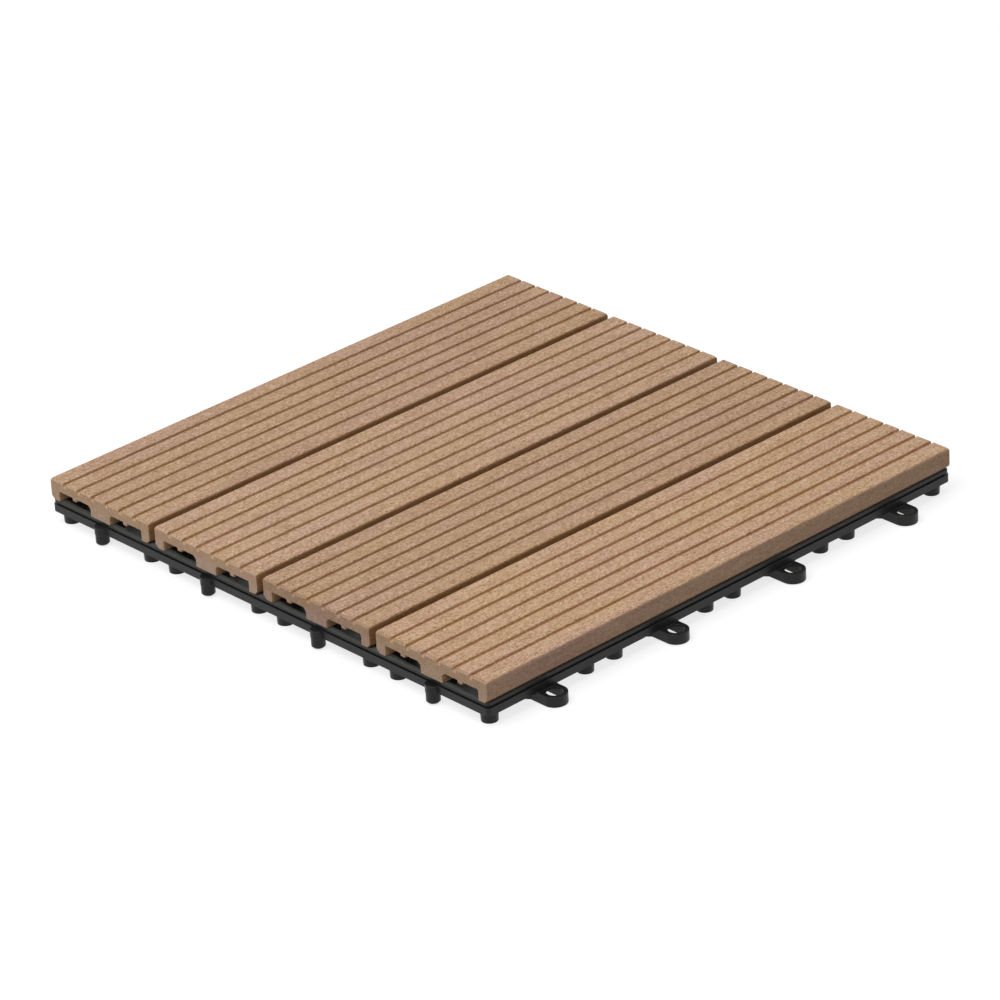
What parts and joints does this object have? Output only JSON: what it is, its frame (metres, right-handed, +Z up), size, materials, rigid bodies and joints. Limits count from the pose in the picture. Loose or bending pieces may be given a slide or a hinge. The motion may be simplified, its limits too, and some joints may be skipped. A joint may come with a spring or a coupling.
{
  "type": "interlocking deck tile",
  "caption": "Square outdoor deck tile of grooved wood-plastic slats screwed to a moulded base grid with clip pegs and loops.",
  "frame": {"origin": "middle of the tile on the ground, under its middle foot", "axes": "+X along the slats towards a loop side, +Y across the slats towards a peg side, +Z up"},
  "size_m": [0.3094, 0.3094, 0.023],
  "materials": {
    "slat": "sanded wood-plastic composite",
    "base": "satin moulded",
    "screw": "plated"
  },
  "bodies": {
    "root": {"base_grid": "base", "slat_1": "slat", "slat_2": "slat", "slat_3": "slat", "slat_4": "slat", "screws": "screw"}
  },
  "joints": []
}
